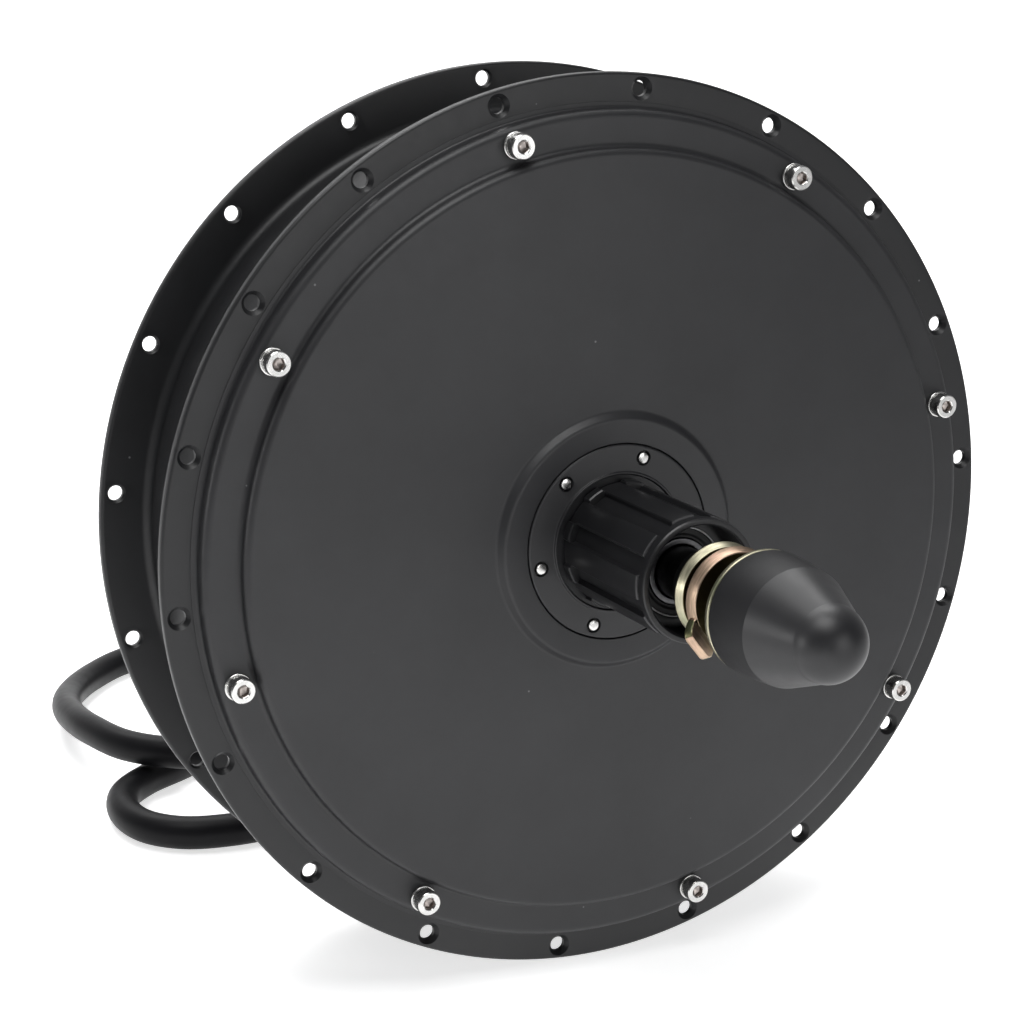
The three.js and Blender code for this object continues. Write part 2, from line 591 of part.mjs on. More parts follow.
// ---- Assembly ----
piece('hub_shell', hubShell(), BLACK_METAL);
piece('drive_cover', driveCover(), BLACK_METAL);
piece('brake_cover', brakeCover(), BLACK_METAL);
for (let i = 0; i < SCREW_COUNT; i += 1) {
  const angle = SCREW_ANGLE + (i * 360) / SCREW_COUNT;
  piece(`drive_screw_${i + 1}`, coverScrew(-1, angle), BRIGHT_STEEL);
  piece(`brake_screw_${i + 1}`, coverScrew(1, angle), BRIGHT_STEEL);
}
piece('back_iron_ring', backIron(), GREY_STEEL);
piece('magnet_ring', magnetRing(), MAGNET_GREY);
piece('stator_core', statorCore(), GREY_STEEL);
piece('stator_winding', statorWinding(), COPPER);
piece('stator_carrier', statorCarrier(), BLACK_METAL);
piece('hall_board', hallBoard(), BOARD_GREEN);
piece('axle', axle(), DARK_STEEL);
mainBearing(-1, 'drive');
mainBearing(1, 'brake');
piece('drive_shaft_seal', shaftSeal(-1, BEARING_OUTER - GAP, 6.4, 8.4), BLACK_RUBBER);
piece('brake_shaft_seal', shaftSeal(1, 14.3, 10.5, 17), BLACK_RUBBER);
piece('freehub_base', freehubBase(), BLACK_METAL);
for (let i = 0; i < PIN_COUNT; i += 1) {
  piece(`freehub_pin_${i + 1}`, freehubPin(PIN_ANGLE + (i * 360) / PIN_COUNT), BRIGHT_STEEL);
}
piece('freehub_shell', freehubShell(), BLACK_METAL);
const bearingBack = outward(-1, FREEHUB_BEARING_FACE - GAP);
const bearingFront = outward(-1, DRIVE_BEARING_SEAT + 1.2);
piece('freehub_bearing_outer_ring', ring(10.9, 12.2, bearingBack, bearingFront, AXLE_FACETS), GREY_STEEL);
const shield = ring(9.5, 10.6, bearingBack + 0.5, bearingBack + 1.2, AXLE_FACETS);
piece('freehub_bearing_shield', shield, BLACK_RUBBER);
piece('freehub_bearing_inner_ring', ring(7.55, 9.2, bearingBack, bearingFront, AXLE_FACETS), GREY_STEEL);
const spacer = ring(7.55, 9.6, outward(-1, DRIVE_SHOULDER - GAP), outward(-1, 60), AXLE_FACETS);
piece('axle_spacer', spacer, DARK_STEEL);
piece('drive_washer', plainWasher(-1, DRIVE_WASHER), YELLOW_ZINC);
piece('drive_tab_washer', tabWasher(-1, DRIVE_TAB_WASHER), YELLOW_ZINC);
piece('drive_axle_nut', axleNut(-1, DRIVE_NUT), YELLOW_ZINC);
piece('drive_axle_cap', axleCap(), BLACK_RUBBER);
piece('brake_washer', plainWasher(1, BRAKE_WASHER), YELLOW_ZINC);
piece('brake_tab_washer', tabWasher(1, BRAKE_TAB_WASHER), YELLOW_ZINC);
piece('brake_axle_nut', axleNut(1, BRAKE_NUT), YELLOW_ZINC);
piece('strain_relief', strainRelief(), BLACK_RUBBER);
piece('motor_cable', cableTube(), BLACK_RUBBER);
connector();

export default hub;
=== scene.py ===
"""Looks of the direct drive hub motor wheel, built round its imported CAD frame.

Metres. The origin is on the axle axis, midway between the spoke flanges. The axle lies along Y,
the drive (freehub) side faces -Y and the cable leaves on the +Y side.
"""
import math
import random

import bmesh
import bpy
from mathutils import Matrix, Vector


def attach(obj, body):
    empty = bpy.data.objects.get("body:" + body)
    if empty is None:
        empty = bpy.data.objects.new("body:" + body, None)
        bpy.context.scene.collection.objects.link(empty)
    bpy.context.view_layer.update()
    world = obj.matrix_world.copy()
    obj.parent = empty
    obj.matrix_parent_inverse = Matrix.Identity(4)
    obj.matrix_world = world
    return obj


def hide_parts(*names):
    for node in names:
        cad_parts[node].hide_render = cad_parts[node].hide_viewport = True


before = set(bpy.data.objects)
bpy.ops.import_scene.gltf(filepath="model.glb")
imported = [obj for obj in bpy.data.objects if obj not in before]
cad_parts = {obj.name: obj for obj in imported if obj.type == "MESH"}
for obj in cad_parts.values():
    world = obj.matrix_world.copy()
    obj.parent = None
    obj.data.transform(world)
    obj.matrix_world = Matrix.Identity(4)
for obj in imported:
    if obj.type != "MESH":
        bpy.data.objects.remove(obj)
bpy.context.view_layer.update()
MM = 0.001
random.seed(7)

# ---- The hub's dimensions, in millimetres ----
FACE = 29.8                     # hub centre to a flange's outer face
FLOOR_Z = -129.15
RIM_R, RIM_T = 129.3, 3.3
DRUM_R, DRUM_BORE = 115.0, 110.9
SPOKES, SPOKE_R = 18, 125.0
SCREWS, SCREW_R, SCREW_A = 8, 114.6, 104.6
SPLINES, RIDGE_A = 9, 101.8
PINS, PIN_R, PIN_A = 6, 24.6, 12.0
LUG_A = -141.5
CABLE_R = 5.5
# Strengths of the light from in front, from behind, and of the floor's glow.
FRONT_GLOW, BACK_GLOW, FLOOR_GLOW = 0.06, 0.42, 0.68
# The floor glows in a pool round the hub: each row is a direction in metres and the distances along
# it where the glow is lowest and highest.
LIGHT_POOL = (
    ((-0.794, 0.608, 0.0), -0.33, -0.135),
    ((0.973, -0.233, 0.0), -0.55, -0.16),
    ((0, 0, 1.0), 0.5, 0.1),
)
# Soft lights: name, place and target in metres, size in metres, watts.
AREA_LIGHTS = (
    ("front", (0.35, -1.6, 0.32), (0, 0, 0), (0.9, 0.75), 5.2),
    ("top", (-0.35, -0.35, 1.5), (0, -0.1, 0), (1.1, 0.9), 15.5),
    ("behind", (0.3, 1.6, 2.2), (0.2, 1.4, 0), (2.4, 1.6), 55),
)
CAMERA_PLACE = (-304.1, -611.6, 167.9)
CAMERA_RIGHT, CAMERA_BACK = (0.9031, -0.4295, 0.0), (-0.4170, -0.8768, 0.2396)
CAMERA_LENS, SENSOR_WIDTH = 83.59, 36.0
CABLE_Z = -123.3
CROSS_Z = -112.0

# The cable's centreline from the strain relief to the connector, as in the CAD model.
CABLE_ROUTE = [
    (0, 129.9, 0), (0, 142, 0), (0.5, 156, -2.5), (2, 172, -9), (3, 187, -21), (5, 203, -40), (7, 221, -68),
    (9, 244, -97), (7, 270, -116), (-8, 292, CABLE_Z), (-28, 299, CABLE_Z),
    (-49, 293, CABLE_Z), (-66.5, 278, CABLE_Z), (-80.5, 256, -121.4), (-89.3, 231, -118),
    (-92.8, 207, -114.8), (-92.4, 184, -112.4), (-86.2, 161.5, CROSS_Z),
    (-72.5, 146.5, CROSS_Z), (-54, 138.5, CROSS_Z), (-34.5, 134, -114.2),
    (-13, 132.5, -118.4), (8.5, 136, -122.3), (27, 146, CABLE_Z), (40, 162, CABLE_Z),
    (44, 183, CABLE_Z), (36, 203, CABLE_Z), (17, 213, CABLE_Z), (-6, 211, CABLE_Z),
    (-27, 198, CABLE_Z), (-46, 181, CABLE_Z), (-64, 166, CABLE_Z), (-81.5, 155, CABLE_Z),
    (-93.2, 142.5, CABLE_Z), (-97.4, 127, CABLE_Z), (-94.6, 111.5, CABLE_Z),
    (-85, 101, CABLE_Z), (-70.5, 97, CABLE_Z), (-52, 97.5, CABLE_Z), (-24, 100.5, CABLE_Z),
    (6, 103.5, CABLE_Z), (34, 103.5, -122.4), (58, 103, -119.8),
]


# ---- Mesh helpers ----
def polar(radius, degrees, y=0.0):
    a = math.radians(degrees)
    return (radius * math.cos(a), y, radius * math.sin(a))


def circle_ring(radius, y, count):
    return [polar(radius, 360 * s / count, y) for s in range(count)]


def hex_ring(radius, y, count, limit=math.inf):
    """A hexagon of the given inner radius, its corners cut back to a limit."""
    ring = []
    for s in range(count):
        a = 2 * math.pi * s / count
        flat = (a % (math.pi / 3)) - math.pi / 6
        reach = min(radius / math.cos(flat), limit)
        ring.append((reach * math.cos(a), y, reach * math.sin(a)))
    return ring


def axial(side, height):
    """Axial position of a height above a flange's outer face: side -1 drive, 1 brake."""
    return side * (FACE + height)


def soften(corners, closed=True, steps=5):
    """A profile of (r, y, rounding) corners as (r, y) points, with each corner rounded."""
    out = []
    n = len(corners)
    for i, (r, y, rounding) in enumerate(corners):
        here = Vector((r, y))
        if rounding <= 0 or (not closed and i in (0, n - 1)):
            out.append((r, y))
            continue
        before = Vector(corners[i - 1][:2]) - here
        after = Vector(corners[(i + 1) % n][:2]) - here
        angle = before.angle(after)
        if angle > math.radians(176):
            out.append((r, y))
            continue
        reach = min(rounding / math.tan(angle / 2), before.length * 0.49, after.length * 0.49)
        p0 = here + before.normalized() * reach
        p2 = here + after.normalized() * reach
        radius = reach * math.tan(angle / 2)
        centre = here + (before.normalized() + after.normalized()).normalized() * (
            radius / math.sin(angle / 2))
        a0 = math.atan2(p0.y - centre.y, p0.x - centre.x)
        a2 = math.atan2(p2.y - centre.y, p2.x - centre.x)
        turn = (a2 - a0 + math.pi) % (2 * math.pi) - math.pi
        for k in range(steps + 1):
            a = a0 + turn * k / steps
            out.append((centre.x + radius * math.cos(a), centre.y + radius * math.sin(a)))
    return out


def new_object(name, mesh, material=None, sharp=32.0):
    for p in mesh.polygons:
        p.use_smooth = True
    mesh.set_sharp_from_angle(angle=math.radians(sharp))
    obj = bpy.data.objects.new(name, mesh)
    bpy.context.scene.collection.objects.link(obj)
    if material is not None:
        mesh.materials.append(material)
    return obj


def mesh_from(name, points, faces):
    """A mesh from points in millimetres, with its faces turned outwards."""
    mesh = bpy.data.meshes.new(name)
    mesh.from_pydata([tuple(c * MM for c in p) for p in points], [], faces)
    bm = bmesh.new()
    bm.from_mesh(mesh)
    bmesh.ops.remove_doubles(bm, verts=bm.verts, dist=1e-7)
    bmesh.ops.recalc_face_normals(bm, faces=bm.faces)
    bm.to_mesh(mesh)
    bm.free()
    return mesh


def lathe_data(profile, segments, closed):
    """Points and faces of a profile of (r, y) turned about the axle."""
    n = len(profile)
    points, faces = [], []
    for s in range(segments):
        a = 2 * math.pi * s / segments
        for r, y in profile:
            points.append((r * math.cos(a), y, r * math.sin(a)))
    spans = n if closed else n - 1
    for s in range(segments):
        t = (s + 1) % segments
        for i in range(spans):
            j = (i + 1) % n
            faces.append((s * n + i, s * n + j, t * n + j, t * n + i))
    return points, faces


def lathe(name, profile, material, segments=192, closed=True, sharp=32.0):
    points, faces = lathe_data(profile, segments, closed)
    return new_object(name, mesh_from(name, points, faces), material, sharp)


def turned(name, side, corners, material, segments=192, closed=True, steps=5, sharp=32.0):
    """A lathe piece from (r, height above the flange face, rounding) corners."""
    profile = soften([(r, axial(side, h), f) for r, h, f in corners], closed, steps)
    return lathe(name, profile, material, segments, closed, sharp)


def rings_mesh(rings, cap_ends=True):
    """Points and faces that skin a list of rings of equal counts."""
    n = len(rings[0])
    points = [p for ring in rings for p in ring]
    faces = []
    for k in range(len(rings) - 1):
        for i in range(n):
            j = (i + 1) % n
            faces.append((k * n + i, k * n + j, (k + 1) * n + j, (k + 1) * n + i))
    if cap_ends:
        faces.append(tuple(range(n))[::-1])
        faces.append(tuple((len(rings) - 1) * n + i for i in range(n)))
    return points, faces


def rod_mesh(radii, place, segments=32):
    """A rod along Y: (radius, y) pairs, moved to a place."""
    rings = []
    for r, y in radii:
        ring = []
        for s in range(segments):
            a = 2 * math.pi * s / segments
            ring.append((place[0] + r * math.cos(a), y, place[2] + r * math.sin(a)))
        rings.append(ring)
    return rings_mesh(rings)


def merged(name, parts):
    """One mesh from several (points, faces)."""
    points, faces = [], []
    for pts, fcs in parts:
        base = len(points)
        points += pts
        faces += [tuple(base + i for i in f) for f in fcs]
    return mesh_from(name, points, faces)


def carve(obj, cutter_parts, sharp=32.0):
    """Cuts the given closed solids out of an object and applies the cut."""
    cutter = bpy.data.objects.new("cutter", merged("cutter", cutter_parts))
    bpy.context.scene.collection.objects.link(cutter)
    modifier = obj.modifiers.new("cut", "BOOLEAN")
    modifier.operation = "DIFFERENCE"
    modifier.solver = "EXACT"
    modifier.object = cutter
    graph = bpy.context.evaluated_depsgraph_get()
    made = bpy.data.meshes.new_from_object(obj.evaluated_get(graph))
    obj.modifiers.clear()
    obj.data = made
    bpy.data.objects.remove(cutter)
    for p in made.polygons:
        p.use_smooth = True
    made.set_sharp_from_angle(angle=math.radians(sharp))
    return obj


def lug_frame():
    """Rotation that takes X to the lug's direction about the axle."""
    return Matrix.Rotation(-math.radians(LUG_A), 3, "Y")


# ---- Materials ----
class Look:
    """Builds one procedural material node by node."""

    def __init__(self, name, colour, roughness, metallic=0.0):
        self.material = bpy.data.materials.new(name)
        self.material.use_nodes = True
        self.tree = self.material.node_tree
        self.shader = self.tree.nodes["Principled BSDF"]
        self.shader.inputs["Metallic"].default_value = metallic
        self.shader.inputs["Roughness"].default_value = roughness
        self.shader.inputs["Base Color"].default_value = (*colour, 1)
        self.place = self.tree.nodes.new("ShaderNodeTexCoord").outputs["Object"]
        self.height = None

    def node(self, kind, **inputs):
        made = self.tree.nodes.new(kind)
        for key, value in inputs.items():
            made.inputs[key.replace("_", " ")].default_value = value
        return made

    def link(self, source, target):
        self.tree.links.new(source, target)

    def noise(self, scale, detail=4.0, rough=0.55, distortion=0.0, stretch=None):
        made = self.node("ShaderNodeTexNoise", Scale=scale, Detail=detail, Roughness=rough,
                         Distortion=distortion)
        source = self.place
        if stretch is not None:
            mapping = self.tree.nodes.new("ShaderNodeMapping")
            mapping.inputs["Scale"].default_value = stretch
            self.link(source, mapping.inputs["Vector"])
            source = mapping.outputs["Vector"]
        self.link(source, made.inputs["Vector"])
        return made.outputs["Fac"]

    def rings(self, scale, distortion=0.0):
        """Fine turning marks: rings about the axle."""
        made = self.node("ShaderNodeTexWave", Scale=scale, Distortion=distortion, Detail=2.0)
        made.wave_type = "RINGS"
        made.rings_direction = "Y"
        self.link(self.place, made.inputs["Vector"])
        return made.outputs["Fac"]

    def specks(self, scale, size):
        """Sparse small spots, 1 inside a spot and 0 elsewhere."""
        cells = self.node("ShaderNodeTexVoronoi", Scale=scale, Randomness=1.0)
        self.link(self.place, cells.inputs["Vector"])
        near = self.node("ShaderNodeMapRange")
        near.inputs["From Min"].default_value = size
        near.inputs["From Max"].default_value = size * 0.6
        self.link(cells.outputs["Distance"], near.inputs["Value"])
        chance = self.tree.nodes.new("ShaderNodeSeparateColor")
        self.link(cells.outputs["Color"], chance.inputs["Color"])
        rare = self.tree.nodes.new("ShaderNodeMath")
        rare.operation = "GREATER_THAN"
        rare.inputs[1].default_value = 0.93
        self.link(chance.outputs["Red"], rare.inputs[0])
        both = self.tree.nodes.new("ShaderNodeMath")
        both.operation = "MULTIPLY"
        self.link(near.outputs["Result"], both.inputs[0])
        self.link(rare.outputs["Value"], both.inputs[1])
        return both.outputs["Value"]

    def ramp(self, fac, stops):
        made = self.tree.nodes.new("ShaderNodeValToRGB")
        ramp = made.color_ramp
        while len(ramp.elements) < len(stops):
            ramp.elements.new(0.5)
        for element, (position, colour) in zip(ramp.elements, stops):
            element.position = position
            element.color = (*colour, 1)
        self.link(fac, made.inputs["Fac"])
        return made.outputs["Color"]

    def mix(self, fac, a, b):
        made = self.tree.nodes.new("ShaderNodeMix")
        made.data_type = "RGBA"
        colour_inputs = [s for s in made.inputs if s.type == "RGBA"]
        for socket, value in zip(colour_inputs, (a, b)):
            if hasattr(value, "is_linked"):
                self.link(value, socket)
            else:
                socket.default_value = (*value, 1)
        factor = made.inputs[0]
        if hasattr(fac, "is_linked"):
            self.link(fac, factor)
        else:
            factor.default_value = fac
        return [s for s in made.outputs if s.type == "RGBA"][0]

    def colour(self, source):
        self.link(source, self.shader.inputs["Base Color"])
        return self

    def rough(self, fac, low, high):
        made = self.node("ShaderNodeMapRange")
        made.inputs["To Min"].default_value = low
        made.inputs["To Max"].default_value = high
        self.link(fac, made.inputs["Value"])
        self.link(made.outputs["Result"], self.shader.inputs["Roughness"])
        return self

    def bump(self, fac, depth_mm, strength=1.0):
        made = self.node("ShaderNodeBump", Strength=strength, Distance=depth_mm * MM)
        self.link(fac, made.inputs["Height"])
        if self.height is not None:
            self.link(self.height, made.inputs["Normal"])
        self.height = made.outputs["Normal"]
        self.link(self.height, self.shader.inputs["Normal"])
        return self

    def set(self, **inputs):
        for key, value in inputs.items():
            self.shader.inputs[key.replace("_", " ")].default_value = value
        return self


def satin_black(name, dark, light, roughness, grain=0.012, speck=True):
    look = Look(name, light, roughness)
    cloud = look.noise(38.0, 6.0, 0.6)
    colour = look.ramp(cloud, [(0.3, dark), (0.7, light)])
    if speck:
        colour = look.mix(look.specks(150.0, 0.055), colour, (0.16, 0.16, 0.165))
    look.colour(colour)
    look.rough(look.noise(420.0, 3.0), roughness - 0.05, roughness + 0.07)
    look.bump(look.noise(2600.0, 2.0, 0.7), grain)
    look.bump(look.rings(320.0, 0.4), 0.0016)
    return look.material


def bright_metal(name, dark, light, roughness, scratches=0.004):
    look = Look(name, light, roughness, 1.0)
    look.colour(look.ramp(look.noise(420.0, 5.0), [(0.3, dark), (0.72, light)]))
    look.rough(look.noise(900.0, 4.0), roughness - 0.05, roughness + 0.09)
    look.bump(look.noise(1500.0, 3.0, 0.6, 0.0, (1.0, 7.0, 1.0)), scratches)
    return look.material


def zinc(name, base, blush):
    """Yellow passivated zinc: pale gold with soft greenish and pinkish patches."""
    look = Look(name, base, 0.3, 1.0)
    green = (base[0] * 0.82, base[1] * 0.97, base[2] * 0.8)
    patches = look.ramp(look.noise(95.0, 2.0, 0.45, 0.5),
                        [(0.3, green), (0.45, base), (0.58, base), (0.75, blush)])
    grain = look.noise(700.0, 3.0, 0.6, 0.0, (0.3, 2.0, 0.3))
    streaks = look.ramp(grain, [(0.38, (0, 0, 0)), (0.66, (1, 1, 1))])
    look.colour(look.mix(streaks, patches, tuple(c * 0.62 for c in base)))
    look.rough(look.noise(500.0, 4.0), 0.3, 0.42)
    look.bump(look.noise(1700.0, 2.0), 0.0007)
    return look.material


def rubber(name, dark, light, roughness, grain=0.01, scale=1900.0, shine=0.5):
    look = Look(name, light, roughness)
    look.colour(look.ramp(look.noise(60.0, 5.0), [(0.3, dark), (0.7, light)]))
    look.rough(look.noise(260.0, 4.0), roughness - 0.06, roughness + 0.08)
    look.bump(look.noise(scale, 3.0, 0.65), grain)
    look.set(Specular_IOR_Level=shine)
    return look.material


PAINT = satin_black("satin_black_paint", (0.0150, 0.0152, 0.0168), (0.0215, 0.0217, 0.0238), 0.45)
SHELL_PAINT = satin_black("satin_black_shell", (0.0085, 0.0087, 0.0097), (0.0126, 0.0128, 0.0142), 0.43)
PLATE_BLACK = satin_black("black_plate", (0.012, 0.012, 0.0134), (0.019, 0.019, 0.0210), 0.40, 0.008)
FREEHUB_BLACK = satin_black("black_freehub", (0.0075, 0.0076, 0.0086), (0.0125, 0.0126, 0.014), 0.34, 0.008)
# Painted highlight: a paler black for the bright line at the ridges' outer ends.
FREEHUB_EDGE_HIGHLIGHT = satin_black("freehub_ridge_end_highlight", (0.035, 0.035, 0.037), (0.075, 0.075, 0.078), 0.4, 0.01)
STEEL = bright_metal("bright_steel", (0.60, 0.60, 0.59), (0.84, 0.83, 0.81), 0.22, 0.002)
SOCKET = bright_metal("socket_steel", (0.34, 0.30, 0.28), (0.58, 0.53, 0.50), 0.34)
BEARING_FACE = bright_metal("ground_steel", (0.13, 0.13, 0.135), (0.22, 0.22, 0.225), 0.36, 0.002)
BEARING = bright_metal("bearing_steel", (0.42, 0.42, 0.43), (0.62, 0.62, 0.63), 0.3, 0.002)
AXLE_STEEL = bright_metal("black_oxide_axle", (0.02, 0.02, 0.021), (0.05, 0.05, 0.052), 0.38)
ZINC = zinc("yellow_zinc", (0.54, 0.51, 0.37), (0.56, 0.46, 0.36))
ZINC_PEACH = zinc("yellow_zinc_peach", (0.64, 0.47, 0.34), (0.66, 0.42, 0.33))
ZINC_OLIVE = zinc("yellow_zinc_olive", (0.22, 0.24, 0.13), (0.26, 0.20, 0.10))
# Painted shade: a dark copy of the yellow zinc for faces where shade and dark reflections fall.
ZINC_PAINTED_SHADE = zinc("yellow_zinc_painted_shade", (0.11, 0.085, 0.04), (0.10, 0.085, 0.045))
CAP_RUBBER = rubber("cap_rubber", (0.0125, 0.0125, 0.014), (0.0195, 0.0195, 0.0215), 0.40, 0.005)
SLEEVE_RUBBER = rubber("cap_sleeve_rubber", (0.0080, 0.0080, 0.0092), (0.0140, 0.0140, 0.0158),
                       0.5, 0.012, 1500.0, 0.4)
CABLE_RUBBER = rubber("cable_jacket", (0.0050, 0.0050, 0.0059), (0.0082, 0.0082, 0.0093),
                      0.42, 0.006, 1900.0, 0.12)
SEAL_RUBBER = rubber("seal_rubber", (0.006, 0.006, 0.0065), (0.012, 0.012, 0.0125), 0.5)
MOULDED = rubber("moulded_plastic", (0.010, 0.010, 0.011), (0.016, 0.016, 0.017), 0.36, 0.014, 1200.0)
COPPER = bright_metal("copper_wire", (0.5, 0.2, 0.08), (0.75, 0.35, 0.16), 0.35, 0.02)
MAGNET = bright_metal("magnet_nickel", (0.35, 0.35, 0.36), (0.55, 0.55, 0.56), 0.3)
LAMINATE = bright_metal("laminated_steel", (0.12, 0.12, 0.13), (0.25, 0.25, 0.27), 0.45, 0.02)
BOARD = rubber("circuit_board_mask", (0.01, 0.1, 0.03), (0.02, 0.16, 0.05), 0.4)


def put(obj, body, slot, *nodes):
    """Rides a finished piece on its body, in place of its CAD nodes."""
    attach(obj, body)
    if nodes:
        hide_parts(*nodes)
    return obj


# ---- Camera, light and floor ----
def camera():
    data = bpy.data.cameras.new("camera")
    data.sensor_width = SENSOR_WIDTH
    data.lens = CAMERA_LENS
    data.clip_start, data.clip_end = 0.02, 30.0
    obj = bpy.data.objects.new("camera", data)
    right = Vector(CAMERA_RIGHT).normalized()
    back = Vector(CAMERA_BACK).normalized()
    up = back.cross(right).normalized()
    obj.matrix_world = Matrix.Translation(Vector(CAMERA_PLACE) * MM) @ Matrix(
        (right, up, back)).transposed().to_4x4()
    bpy.context.scene.collection.objects.link(obj)
    bpy.context.scene.camera = obj


def aimed(name, data, place, target):
    """A light that shines from a place towards a target."""
    obj = bpy.data.objects.new(name, data)
    obj.location = place
    obj.rotation_euler = (Vector(target) - Vector(place)).to_track_quat("-Z", "Y").to_euler()
    bpy.context.scene.collection.objects.link(obj)


def area_light(name, place, target, size, power):
    data = bpy.data.lights.new(name, "AREA")
    data.shape = "RECTANGLE"
    data.size, data.size_y = size
    data.energy = power
    aimed(name, data, place, target)


def spot_light(name, place, target, cone, radius, power):
    """A soft-edged spot: the cone's full angle in degrees."""
    data = bpy.data.lights.new(name, "SPOT")
    data.spot_size = math.radians(cone)
    data.spot_blend = 1.0
    data.shadow_soft_size = radius
    data.energy = power
    aimed(name, data, place, target)


def sweep_profile():
    """The floor running back and curving up into a backdrop: (y, z) in metres."""
    radius, turn_y = 1.2, 1.5
    line = [(-40.0, FLOOR_Z * MM), (-1.0, FLOOR_Z * MM), (0.0, FLOOR_Z * MM), (turn_y, FLOOR_Z * MM)]
    for k in range(1, 17):
        a = math.radians(90 * k / 16)
        line.append((turn_y + radius * math.sin(a), FLOOR_Z * MM + radius * (1 - math.cos(a))))
    return line + [(turn_y + radius, 5.0)]


def studio():
    world = bpy.data.worlds.new("studio")
    bpy.context.scene.world = world
    world.use_nodes = True
    tree = world.node_tree
    sky = tree.nodes["Background"]
    place = tree.nodes.new("ShaderNodeTexCoord")
    split = tree.nodes.new("ShaderNodeSeparateXYZ")
    glow = tree.nodes.new("ShaderNodeMapRange")
    glow.inputs["From Min"].default_value = -0.35
    glow.inputs["From Max"].default_value = 0.5
    glow.inputs["To Min"].default_value = FRONT_GLOW
    glow.inputs["To Max"].default_value = BACK_GLOW
    tree.links.new(place.outputs["Generated"], split.inputs["Vector"])
    tree.links.new(split.outputs["Y"], glow.inputs["Value"])
    tree.links.new(glow.outputs["Result"], sky.inputs["Strength"])
    sky.inputs["Color"].default_value = (0.97, 0.98, 1.0, 1)
    spot_light("left", (-1.6, 0.3, 0.14), (0, -0.13, 0), 13, 0.2, 31)
    for light in AREA_LIGHTS:
        area_light(*light)
    line = sweep_profile()
    points = [(x, y, z) for y, z in line for x in (-40.0, 40.0)]
    faces = [(2 * i, 2 * i + 1, 2 * i + 3, 2 * i + 2) for i in range(len(line) - 1)]
    mesh = bpy.data.meshes.new("floor")
    mesh.from_pydata(points, [], faces)
    for p in mesh.polygons:
        p.use_smooth = True
    floor = bpy.data.objects.new("floor", mesh)
    bpy.context.scene.collection.objects.link(floor)
    look = Look("pale_floor", (0.86, 0.86, 0.86), 0.7)
    pool = None
    for direction, dark, bright in LIGHT_POOL:
        along = look.tree.nodes.new("ShaderNodeVectorMath")
        along.operation = "DOT_PRODUCT"
        along.inputs[1].default_value = direction
        look.link(look.place, along.inputs[0])
        fade = look.node("ShaderNodeMapRange")
        fade.inputs["From Min"].default_value = dark
        fade.inputs["From Max"].default_value = bright
        look.link(along.outputs["Value"], fade.inputs["Value"])
        if pool is None:
            pool = fade.outputs["Result"]
            continue
        product = look.tree.nodes.new("ShaderNodeMath")
        product.operation = "MULTIPLY"
        look.link(pool, product.inputs[0])
        look.link(fade.outputs["Result"], product.inputs[1])
        pool = product.outputs["Value"]
    pale = look.ramp(look.noise(3.0, 3.0), [(0.3, (0.84, 0.84, 0.845)), (0.7, (0.87, 0.87, 0.875))])
    # Painted pool of light: the floor's colour is paler inside the pool round the hub, where it also glows.
    look.colour(look.mix(pool, (0.66, 0.66, 0.665), pale))
    lift = look.node("ShaderNodeMapRange")
    lift.inputs["To Min"].default_value = 0.2
    lift.inputs["To Max"].default_value = FLOOR_GLOW
    look.link(pool, lift.inputs["Value"])
    look.link(lift.outputs["Result"], look.shader.inputs["Emission Strength"])
    look.set(Emission_Color=(1.0, 1.0, 1.0, 1))
    mesh.materials.append(look.material)


# ---- Shell and covers ----
def spoke_cutters():
    parts = []
    for side, first in ((-1, 104.5), (1, 114.5)):
        for i in range(SPOKES):
            place = polar(SPOKE_R, first + i * 360 / SPOKES)
            profile = [(4.5, axial(side, 1.0)), (3.3, axial(side, 0.0)), (2.2, axial(side, -1.25)),
                       (2.2, axial(side, -2.6)), (2.8, axial(side, -3.32)), (3.4, axial(side, -4.0))]
            parts.append(rod_mesh(profile, place, 28))
    return parts


def hub_shell():
    inner = FACE - RIM_T
    half = [(DRUM_BORE, FACE, 0.3), (RIM_R, FACE, 1.0), (RIM_R, inner, 1.0), (DRUM_R, inner, 2.6)]
    corners = half + [(r, -y, f) for r, y, f in reversed(half)]
    obj = lathe("hub_shell_body", soften(corners, True, 6), SHELL_PAINT, 288)
    carve(obj, spoke_cutters())
    put(obj, "rotor", "black_aluminium", "hub_shell")


def cover_corners(boss):
    return [
        (23.8, -7.5, 0.3), (28.5, -7.5, 0.5), (28.5, 5.75, 1.0), (103.9, 5.75, 1.0), (106.9, -3.0, 0.4),
        (110.6, -3.0, 0.4), (110.6, 0.05, 0.0), (121.3, 0.05, 0.0), (121.3, 0.2, 0.08),
        (119.6, 0.3, 0.9), (119.4, 5.5, 2.3), (109.4, 5.5, 1.5), (109.2, 9.75, 2.3), *boss,
    ]


def drive_cover():
    boss = [(36.9, 9.75, 1.3), (35.2, 12.1, 1.3), (33.4, 11.95, 1.0),
            (28.25, 11.85, 0.25), (28.25, 8.45, 0.1), (23.8, 8.45, 0.1)]
    obj = turned("drive_cover_body", -1, cover_corners(boss), PAINT, 256)
    put(obj, "rotor", "black_aluminium", "drive_cover")


